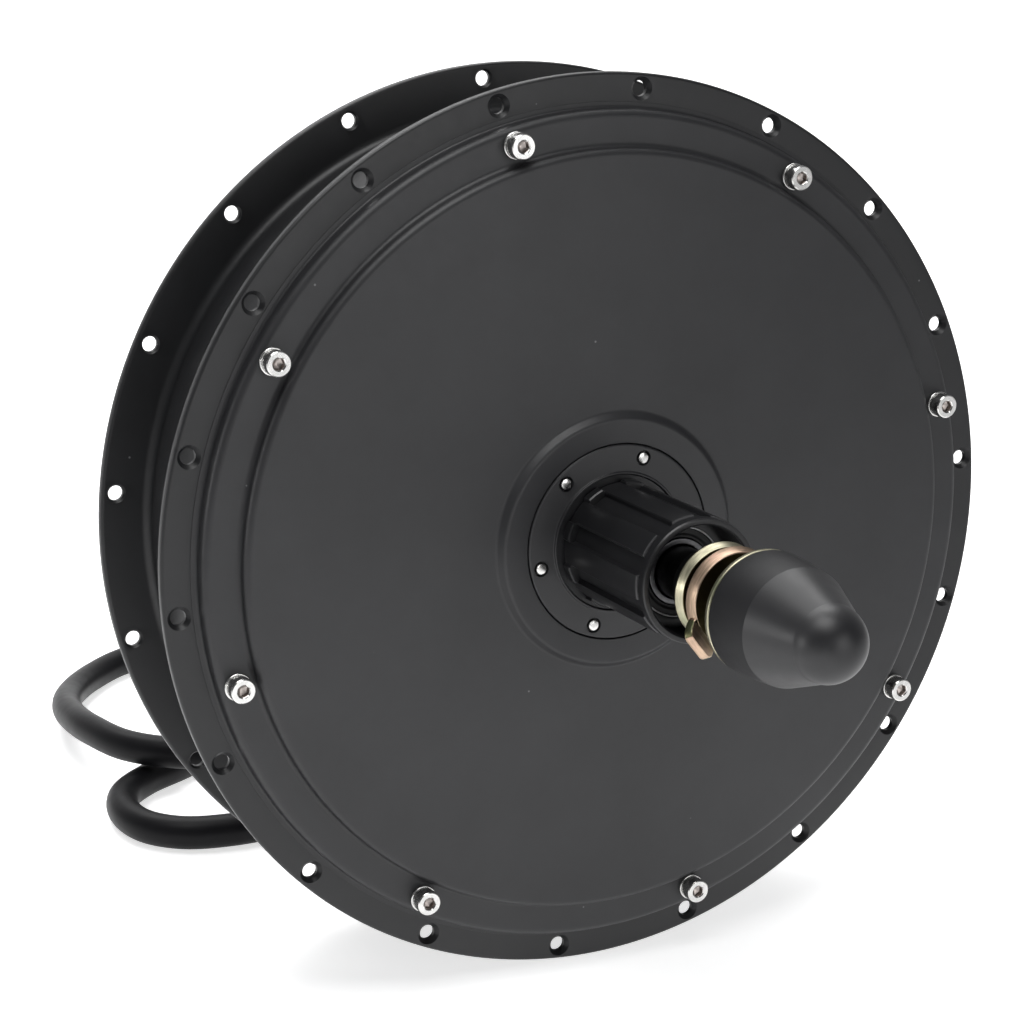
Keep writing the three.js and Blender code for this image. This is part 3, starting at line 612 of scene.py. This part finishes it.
def brake_cover():
    seat = 17.5
    boss = [(37.4, 9.75, 2.0), (35.0, 14.5, 1.6), (29.0, 14.5, 0.8), (29.0, seat, 0.5), (17.45, seat, 0.4),
            (17.45, seat + 2, 0.5), (14.6, seat + 2, 0.3), (14.6, 6.4, 0.1), (23.8, 6.4, 0.1)]
    obj = turned("brake_cover_body", 1, cover_corners(boss), PAINT, 256)
    parts = []
    for i in range(6):
        place = polar(22, 90 + i * 60)
        profile = [(3.3, axial(1, seat + 0.6)), (2.5, axial(1, seat - 0.3))]
        for k in range(12):
            profile.append((2.5 if k % 2 else 2.25, axial(1, seat - 0.6 - 0.5 * k)))
        parts.append(rod_mesh(profile, place, 24))
    carve(obj, parts)
    put(obj, "rotor", "black_aluminium", "brake_cover")


def screw_mesh():
    """A socket screw and its washer about the Y axis, head towards -Y, seated at y=0."""
    washer = soften([(2.1, 0.0, 0.1), (3.85, 0.0, 0.2), (3.85, -0.9, 0.35), (2.1, -0.9, 0.1)])
    parts = [lathe_data(washer, 40, True)]
    count = 48
    rings = []
    for r, y, knurl in ((3.1, -1.12, 0), (3.42, -1.4, 0.0), (3.5, -1.6, 0.1), (3.5, -4.6, 0.1),
                        (3.42, -4.75, 0.0), (3.15, -5.05, 0), (1.95, -5.05, 0)):
        ring = []
        for s in range(count):
            a = 2 * math.pi * s / count
            depth = knurl if s % 2 else 0.0
            ring.append(((r - depth) * math.cos(a), y, (r - depth) * math.sin(a)))
        rings.append(ring)
    rings += [hex_ring(1.62, -4.85, count), hex_ring(1.5, -4.7, count), hex_ring(1.5, -2.9, count),
              circle_ring(0.35, -2.3, count)]
    parts.append(rings_mesh(rings))
    mesh = merged("socket_screw", parts)
    mesh.materials.append(STEEL)
    mesh.materials.append(SOCKET)
    for p in mesh.polygons:
        p.use_smooth = True
        x, y, z = (c / MM for c in p.center)
        if math.hypot(x, z) < 1.66 and -4.9 < y < -2.0:
            p.material_index = 1
    mesh.set_sharp_from_angle(angle=math.radians(30))
    return mesh


def cover_screws():
    mesh = screw_mesh()
    for side, name in ((-1, "drive"), (1, "brake")):
        for i in range(SCREWS):
            obj = bpy.data.objects.new(f"{name}_socket_screw_{i + 1}", mesh)
            bpy.context.scene.collection.objects.link(obj)
            x, y, z = polar(SCREW_R, SCREW_A + i * 360 / SCREWS, axial(side, 5.6))
            spin = Matrix.Rotation(random.uniform(0, math.pi / 3), 4, "Y")
            flip = Matrix.Rotation(math.pi if side > 0 else 0.0, 4, "Z")
            obj.matrix_world = Matrix.Translation(Vector((x, y, z)) * MM) @ flip @ spin
            put(obj, "rotor", "bright_steel", f"{name}_screw_{i + 1}")


# ---- Freehub ----
def freehub_plate():
    corners = [
        (8.6, 8.9, 0.2), (27.95, 8.9, 0.1), (27.95, 12.05, 0.55), (20.25, 11.95, 0.3), (20.15, 12.7, 0.25),
        (19.6, 12.7, 0.25), (19.4, 11.9, 0.2), (13.6, 11.9, 0.1), (13.6, 38.5, 0.2), (8.6, 38.5, 0.2),
    ]
    obj = turned("freehub_plate", -1, corners, PLATE_BLACK, 192)
    parts = []
    for i in range(PINS):
        profile = [(2.35, axial(-1, 12.3)), (2.05, axial(-1, 11.5)), (2.0, axial(-1, 10.4))]
        parts.append(rod_mesh(profile, polar(PIN_R, PIN_A + i * 360 / PINS), 24))
    carve(obj, parts)
    put(obj, "rotor", "black_steel", "freehub_base")
    for i in range(PINS):
        x, _, z = polar(PIN_R, PIN_A + i * 360 / PINS)
        profile = [(1.6, axial(-1, 10.45)), (1.6, axial(-1, 11.75)), (1.45, axial(-1, 12.0)),
                   (1.0, axial(-1, 12.14)), (0.45, axial(-1, 12.2))]
        mesh = merged(f"plate_pin_{i + 1}", [rod_mesh(profile, (x, 0, z), 24)])
        pin = new_object(f"plate_pin_{i + 1}", mesh, STEEL, 40)
        put(pin, "rotor", "bright_steel", f"freehub_pin_{i + 1}")


def spline_ring(y, ridge, groove, half_width, flank, count=360):
    ring = []
    for s in range(count):
        degrees = 360 * s / count
        off = abs((degrees - RIDGE_A + 20) % 40 - 20)
        t = min(1.0, max(0.0, (half_width + flank / 2 - off) / flank))
        t = t * t * (3 - 2 * t)
        r = groove + (ridge - groove) * t
        ring.append(polar(r, degrees, y))
    return ring


def freehub_shell():
    ridge, groove, block, end = 17.5, 16.1, 18.3, 17.1
    wide, flank = 11.6, 1.6

    def section(h, r_ridge, r_groove):
        return spline_ring(axial(-1, h), r_ridge, r_groove, wide, flank)

    def plain(h, r):
        return [polar(r, d, axial(-1, h)) for d in range(360)]

    rings = [plain(12.6, 14.6), plain(12.6, 16.6), section(12.7, 17.3, 18.0), section(13.0, ridge, block),
             section(15.9, ridge, block), section(16.35, ridge, block - 0.3), section(16.4, ridge, groove),
             section(16.6, ridge, groove), section(53.6, ridge, groove), section(54.1, ridge - 0.15, groove),
             section(54.3, ridge - 0.5, groove), section(54.32, 16.6, 16.05), plain(54.6, 16.5),
             plain(54.9, 16.9), plain(55.2, end), plain(57.6, end), plain(58.0, end - 0.3),
             plain(58.1, end - 0.8), plain(58.1, 15.7), plain(57.7, 15.3)]
    for k in range(13):
        rings.append(plain(57.2 - 0.38 * 2 * k, 15.35))
        rings.append(plain(57.2 - 0.38 * (2 * k + 1), 15.05))
    rings += [plain(47.3, 15.2), plain(47.2, 15.1), plain(47.2, 13.0), plain(47.0, 12.55),
              plain(39.5, 12.5), plain(39.5, 14.6), plain(12.6, 14.6)]
    points, faces = rings_mesh(rings, cap_ends=False)
    mesh = mesh_from("freehub_spline_body", points, faces)
    mesh.materials.append(FREEHUB_BLACK)
    mesh.materials.append(FREEHUB_EDGE_HIGHLIGHT)
    # Painted highlight: the sloped ends of the ridges take the paler black.
    for p in mesh.polygons:
        h = -p.center.y / MM - FACE
        r = math.hypot(p.center.x, p.center.z) / MM
        if 54.05 < h < 54.33 and r > 16.3:
            p.material_index = 1
    obj = new_object("freehub_spline_body", mesh, None, 30)
    put(obj, "freehub", "black_steel", "freehub_shell")


def freehub_bearing():
    outer = turned("bearing_outer", -1, [
        (10.9, 42.3, 0.2), (12.45, 42.3, 0.2), (12.45, 47.25, 0.15), (12.1, 47.25, 0.15), (12.1, 46.3, 0.1),
        (10.9, 46.3, 0.1)], BEARING, 128)
    put(outer, "freehub", "bearing_steel", "freehub_bearing_outer_ring")
    shield = turned("bearing_shield", -1, [
        (9.35, 45.6, 0.1), (10.8, 45.6, 0.1), (10.8, 46.35, 0.1), (12.05, 46.35, 0.1), (12.05, 46.8, 0.2),
        (10.6, 46.8, 0.5), (9.9, 46.3, 0.4), (9.35, 46.35, 0.15)], SEAL_RUBBER, 128)
    put(shield, "freehub", "black_rubber", "freehub_bearing_shield")
    inner = turned("bearing_inner", -1, [
        (7.5, 42.3, 0.2), (9.2, 42.3, 0.2), (9.2, 46.95, 0.3), (7.5, 46.95, 0.4)], BEARING_FACE, 128)
    put(inner, "axle_stator", "bearing_steel", "freehub_bearing_inner_ring")


# ---- Axle and its hardware ----
def clamp_to_flats(ring, across):
    """Moves a ring's points in to the axle's two flats."""
    turn = lug_frame()
    back = turn.inverted()
    out = []
    for p in ring:
        q = back @ Vector(p)
        q.z = max(-across / 2, min(across / 2, q.z))
        out.append(tuple(turn @ q))
    return out


def axle():
    count = 120

    def circle(y, r):
        return [polar(r, 360 * s / count, y) for s in range(count)]

    def thread(y0, y1, pitch=1.5, r=6.95, depth=0.55):
        rings = []
        steps = int(abs(y1 - y0) / pitch * 6)
        for k in range(steps + 1):
            y = y0 + (y1 - y0) * k / steps
            ring = []
            for s in range(count):
                phase = (y / pitch + s / count) % 1.0
                crest = abs(phase - 0.5) * 2
                radius = r - depth * (1 - min(1.0, crest * 1.35))
                ring.append(polar(radius, 360 * s / count, y))
            rings.append(clamp_to_flats(ring, 10.0))
        return rings

    drive = [circle(axial(-1, 110), 5.6)] + thread(axial(-1, 109.6), axial(-1, 66.9))
    drive += [circle(axial(-1, 66.6), 6.6), circle(axial(-1, 66.5), 7.2), circle(axial(-1, 41), 7.2),
              circle(axial(-1, 41), 7.9), circle(axial(-1, 8.5), 7.9), circle(axial(-1, 8.5), 12.2),
              circle(-22, 12.2), circle(-22, 15), circle(22, 15), circle(22, 12.2),
              circle(axial(1, 17.4), 12.2), circle(axial(1, 18), 11.6), circle(axial(1, 18), 10),
              circle(axial(1, 23.4), 10), circle(axial(1, 23.7), 9.7), circle(axial(1, 23.7), 6.6)]
    brake = thread(axial(1, 24.0), axial(1, 66.8))
    brake += [circle(axial(1, 67.2), 5.8), circle(axial(1, 67.2), 4.2), circle(axial(1, 40), 4.0)]
    points, faces = rings_mesh(drive + brake)
    obj = new_object("axle_shaft", mesh_from("axle_shaft", points, faces), AXLE_STEEL, 40)
    put(obj, "axle_stator", "axle_steel", "axle")
    spacer = turned("axle_spacer_sleeve", -1, [(7.5, 60.0, 0.2), (9.6, 60.0, 0.3), (9.6, 66.3, 0.3),
                                               (7.5, 66.3, 0.2)], AXLE_STEEL, 96)
    put(spacer, "axle_stator", "axle_steel", "axle_spacer")


def shade_inside(mesh, low, high, radius):
    """Paints shade: gives a piece's back edge, and its faces inside a radius, a dark zinc where shade and
    dark reflections fall.
    """
    mesh.materials.append(ZINC_PAINTED_SHADE)
    # Painted shade: faces behind the low height, and faces inside the radius below the high height, take the
    # dark zinc.
    for p in mesh.polygons:
        height = abs(p.center.y) / MM - FACE
        if height < low or height < high and math.hypot(p.center.x, p.center.z) / MM < radius:
            p.material_index = 1


def washer(name, side, start, material, node):
    """A thick punched washer: its front edge is worn to a broad slope."""
    corners = [(7.15, start, 0.3), (13.1, start, 0.5), (13.25, start + 0.9, 0.6), (12.3, start + 3.5, 0.3),
               (7.15, start + 3.5, 0.3)]
    obj = turned(name, side, corners, material, 144)
    shade_inside(obj.data, start + 0.7, start + 5, 12.35)
    put(obj, "axle_stator", "yellow_zinc", node)


def rounded_section(half_width, half_thick, corner):
    """A rounded rectangle as (across, through) points."""
    points = []
    for quarter, (sx, sy) in enumerate(((1, 1), (-1, 1), (-1, -1), (1, -1))):
        for k in range(5):
            a = math.radians(90 * quarter + 22.5 * k)
            points.append((sx * (half_width - corner) + corner * math.cos(a),
                           sy * (half_thick - corner) + corner * math.sin(a)))
    return points


def lug_rings(side, front):
    """The washer's lug: a thick strip bent outwards, with a rounded end."""
    thick, wide, tip, bend, inner = 2.5, 5.0, 2.2, math.radians(42), 1.2
    straight = 4.6
    root = front - thick / 2 - 0.05
    stations = [(10.4, root, 0.0, 1.0, 1.0), (11.6, root, 0.0, 1.0, 1.0)]
    middle = inner + thick / 2
    for k in range(9):
        a = bend * k / 8
        lift = front - 0.05 + inner - middle * math.cos(a)
        stations.append((12.0 + middle * math.sin(a), lift, a, 1.0, 1.0))
    root_r, root_h = stations[-1][:2]
    for k in range(1, 13):
        s = straight * math.sin(math.radians(90 * k / 12))
        past = max(0.0, s - (straight - tip))
        width = (wide - tip + math.sqrt(max(0.0, tip ** 2 - past ** 2))) / wide
        thin = 1.0 if k < 11 else (0.93 if k == 11 else 0.78)
        stations.append((root_r + s * math.cos(bend), root_h + s * math.sin(bend), bend, width, thin))
    rings = []
    for r, h, a, width, thin in stations:
        ring = []
        for across, through in rounded_section(wide * width, thick / 2 * thin, 0.4):
            place = Vector((r - through * math.sin(a), axial(side, h + through * math.cos(a)), across))
            ring.append(tuple(lug_frame() @ place))
        rings.append(ring)
    return rings


def tab_washer(name, side, start, material, node):
    """A thick washer with a lug bent outwards from its rim."""
    front = start + 4.6 if side < 0 else start + 3.5
    back = start - 0.4 if side < 0 else start
    profile = soften([(7.3, back, 0.3), (12.2, back, 0.5), (13.5, back + 1.4, 0.5), (12.7, front, 0.35),
                      (7.3, front, 0.3)], True, 4)
    disc = lathe_data([(r, axial(side, h)) for r, h in profile], 180, True)
    mesh = merged(name, [disc, rings_mesh(lug_rings(side, front))])
    obj = new_object(name, mesh, material, 35)
    shade_inside(obj.data, back + 1.0, front + 0.3, 12.4)
    obj.data.materials.append(ZINC_OLIVE)
    flank = lug_frame() @ Vector((0, 0, 1))
    outward = lug_frame() @ Vector((1, 0, 0))
    for p in obj.data.polygons:
        if p.center.dot(outward) > 12.6 * MM and abs(p.normal.dot(flank)) > 0.6:
            p.material_index = 2
    put(obj, "axle_stator", "yellow_zinc", node)


def axle_nut(name, side, start, material, node):
    parts = [lathe_data([(r, axial(side, h)) for r, h in soften(
        [(7.2, start, 0.3), (16.15, start, 0.4), (16.15, start + 1.5, 0.5), (13.0, start + 2.6, 1.0),
         (7.2, start + 2.6, 0.2)])], 144, True)]
    rings = []
    count = 120
    for h, radius, limit in ((2.2, 10.5, math.inf), (12.0, 10.5, math.inf), (12.9, 10.5, 11.1),
                             (13.2, 10.185, 10.75)):
        rings.append(hex_ring(radius, axial(side, start + h), count, limit))
    for h, r in ((13.2, 7.9), (12.7, 7.25), (1.0, 7.25)):
        rings.append(circle_ring(r, axial(side, start + h), count))
    parts.append(rings_mesh(rings, cap_ends=False))
    obj = new_object(name, merged(name, parts), material, 30)
    shade_inside(obj.data, start, start + 1.4, 15.75)
    put(obj, "axle_stator", "yellow_zinc", node)


def axle_cap():
    dome_r, dome_h = 10.2, 118.95
    corners = [(12.9, 90.35, 0.2), (16.4, 90.25, 0.45), (16.1, 98.0, 8.0), (15.45, 105.3, 0.55),
               (10.19, 119.75, 1.2), (9.977, 121.07, 0.0)]
    profile = soften(corners, False, 6)
    for k in range(1, 19):
        a = math.radians(12 + 78 * k / 18)
        profile.append((max(0.0, dome_r * math.cos(a)), dome_h + dome_r * math.sin(a)))
    profile += [(0.0, 113.0), (7.3, 113.0), (7.6, 103.2), (12.7, 103.0), (12.9, 102.6)]
    obj = lathe("axle_cap", [(r, axial(-1, h)) for r, h in profile], CAP_RUBBER, 192, True, 50)
    obj.data.materials.append(SLEEVE_RUBBER)
    for p in obj.data.polygons:
        if -p.center.y / MM - FACE < 105.0:
            p.material_index = 1
    put(obj, "axle_stator", "black_rubber", "drive_axle_cap")


# ---- Cable ----
def catmull(points, per_span=10):
    """A smooth centripetal line through the points."""
    pts = [Vector(p) for p in points]
    pts = [pts[0] * 2 - pts[1]] + pts + [pts[-1] * 2 - pts[-2]]
    out = []
    for i in range(1, len(pts) - 2):
        p0, p1, p2, p3 = pts[i - 1:i + 3]
        t0 = 0.0
        t1 = t0 + (p1 - p0).length ** 0.5
        t2 = t1 + (p2 - p1).length ** 0.5
        t3 = t2 + (p3 - p2).length ** 0.5
        for k in range(per_span):
            t = t1 + (t2 - t1) * k / per_span
            a1 = p0 * ((t1 - t) / (t1 - t0)) + p1 * ((t - t0) / (t1 - t0))
            a2 = p1 * ((t2 - t) / (t2 - t1)) + p2 * ((t - t1) / (t2 - t1))
            a3 = p2 * ((t3 - t) / (t3 - t2)) + p3 * ((t - t2) / (t3 - t2))
            b1 = a1 * ((t2 - t) / (t2 - t0)) + a2 * ((t - t0) / (t2 - t0))
            b2 = a2 * ((t3 - t) / (t3 - t1)) + a3 * ((t - t1) / (t3 - t1))
            out.append(b1 * ((t2 - t) / (t2 - t1)) + b2 * ((t - t1) / (t2 - t1)))
    out.append(pts[-2])
    return out


def along_line(line, radius_of, count=32):
    """Rings round a line, carried along it without twisting."""
    rings = []
    up = Vector((1, 0, 0))
    for i, p in enumerate(line):
        ahead = (line[min(i + 1, len(line) - 1)] - line[max(i - 1, 0)]).normalized()
        up = (up - ahead * up.dot(ahead)).normalized()
        across = ahead.cross(up)
        r = radius_of(i)
        rings.append([tuple(p + up * (r * math.cos(2 * math.pi * s / count))
                            + across * (r * math.sin(2 * math.pi * s / count))) for s in range(count)])
    return rings


def grooved_ring(radius, y, gripped, count=96, depth=0.35):
    """A ring of the plug's body, with finger grooves where it is gripped."""
    ring = []
    for s in range(count):
        a = 2 * math.pi * s / count
        r = max(0.001, radius - (depth if gripped and (s // 4) % 2 else 0.0))
        ring.append((r * math.cos(a), y, r * math.sin(a)))
    return ring


def cable():
    line = catmull(CABLE_ROUTE, 8)
    points, faces = rings_mesh(along_line(line, lambda i: CABLE_R))
    jacket = new_object("cable_jacket", mesh_from("cable_jacket", points, faces), CABLE_RUBBER, 50)
    put(jacket, "axle_stator", "black_rubber", "motor_cable")

    # the strain relief: a collar on the axle's end and a ribbed, tapered sleeve
    start = 67.4
    profile = [(4.0, start), (9.0, start), (9.2, start + 0.4), (9.2, start + 6.6), (8.8, start + 7.0),
               (7.7, start + 7.2)]
    ribs = 7
    for k in range(ribs):
        h = start + 8.4 + k * 3.1
        r = 7.9 - 0.2 * k
        profile += [(r, h), (r + 0.05, h + 1.5), (r - 0.65, h + 1.8), (r - 0.7, h + 2.8)]
    profile += [(6.2, start + 30.6), (6.05, start + 33.0), (5.8, start + 33.3), (4.0, start + 33.3)]
    relief = lathe("cable_strain_relief", [(r, axial(1, h)) for r, h in profile], SEAL_RUBBER, 96)
    put(relief, "axle_stator", "black_rubber", "strain_relief")

    # the connector
    end, before = Vector(CABLE_ROUTE[-1]), Vector(CABLE_ROUTE[-2])
    heading = (end - before).normalized()
    base = end + heading * 0.2
    base.z = CABLE_Z + 8.5 - CABLE_R + 0.3
    turn = Vector((0, 1, 0)).rotation_difference(heading).to_matrix()

    def placed(parts):
        return [([tuple(base + turn @ Vector(p)) for p in pts], fcs) for pts, fcs in parts]

    body = soften([(4.9, 0, 0.2), (6.0, 0, 0.6), (6.2, 6, 0.6), (7.9, 10, 1.2), (7.9, 24, 0.3),
                   (8.4, 24.6, 0.3), (8.4, 41.6, 0.6), (6.7, 41.6, 0.3), (6.7, 30, 0.3), (0, 30, 0)],
                  False, 4)
    body = [(0.0, 0.4)] + body
    rings = []
    for (r, y), (_, next_y) in zip(body, body[1:]):
        gripped = 11.5 < y < 23 or 26 < y < 40 and r > 7
        rings.append(grooved_ring(r, y, gripped))
        if abs(y - next_y) > 6:
            for f in (0.06, 0.1, 0.9, 0.94):
                rings.append(grooved_ring(r, y + (next_y - y) * f, 0.08 < f < 0.92 and r > 7))
    r, y = body[-1]
    rings.append(grooved_ring(r, y, 26 < y < 40 and r > 7))
    mesh = merged("connector_shell", placed([rings_mesh(rings)]))
    shell = new_object("connector_shell", mesh, MOULDED, 30)
    put(shell, "axle_stator", "black_plastic", "plug_body")
    parts = [rod_mesh([(5.2, 30.2), (5.2, 33.2)], (0, 0, 0), 48)]
    for k in range(9):
        place = polar(3.4 if k < 6 else 1.3, k * (60 if k < 6 else 120) + 15)
        parts.append(rod_mesh([(0.6, 33.0), (0.6, 37.6), (0.42, 38.4), (0.2, 38.6)], place, 16))
    contacts = new_object("connector_contacts", merged("connector_contacts", placed(parts)), STEEL, 30)
    put(contacts, "axle_stator", "bright_steel", "plug_contacts")


# ---- CAD nodes that stay, with finishes of their own ----
KEPT = {
    "back_iron_ring": BEARING, "magnet_ring": MAGNET, "stator_core": LAMINATE, "stator_winding": COPPER,
    "stator_carrier": PLATE_BLACK, "hall_board": BOARD, "drive_bearing_inner_ring": BEARING,
    "drive_bearing_outer_ring": BEARING, "brake_bearing_inner_ring": BEARING,
    "brake_bearing_outer_ring": BEARING, "drive_shaft_seal": SEAL_RUBBER, "brake_shaft_seal": SEAL_RUBBER,
}


def kept_nodes():
    for name, material in KEPT.items():
        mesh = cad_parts[name].data
        mesh.materials.clear()
        mesh.materials.append(material)


camera()
studio()
cable()
hub_shell()
drive_cover()
brake_cover()
cover_screws()
freehub_plate()
freehub_shell()
freehub_bearing()
axle()
washer("plain_washer_drive", -1, 67.0, ZINC, "drive_washer")
tab_washer("tab_washer_drive", -1, 72.9, ZINC_PEACH, "drive_tab_washer")
axle_nut("flange_nut_drive", -1, 88.0, ZINC, "drive_axle_nut")
axle_cap()
washer("plain_washer_brake", 1, 24.0, ZINC, "brake_washer")
tab_washer("tab_washer_brake", 1, 27.9, ZINC_PEACH, "brake_tab_washer")
axle_nut("flange_nut_brake", 1, 37.0, ZINC, "brake_axle_nut")
kept_nodes()

scene = bpy.context.scene
scene.view_settings.view_transform = "Standard"
scene.view_settings.look = "None"
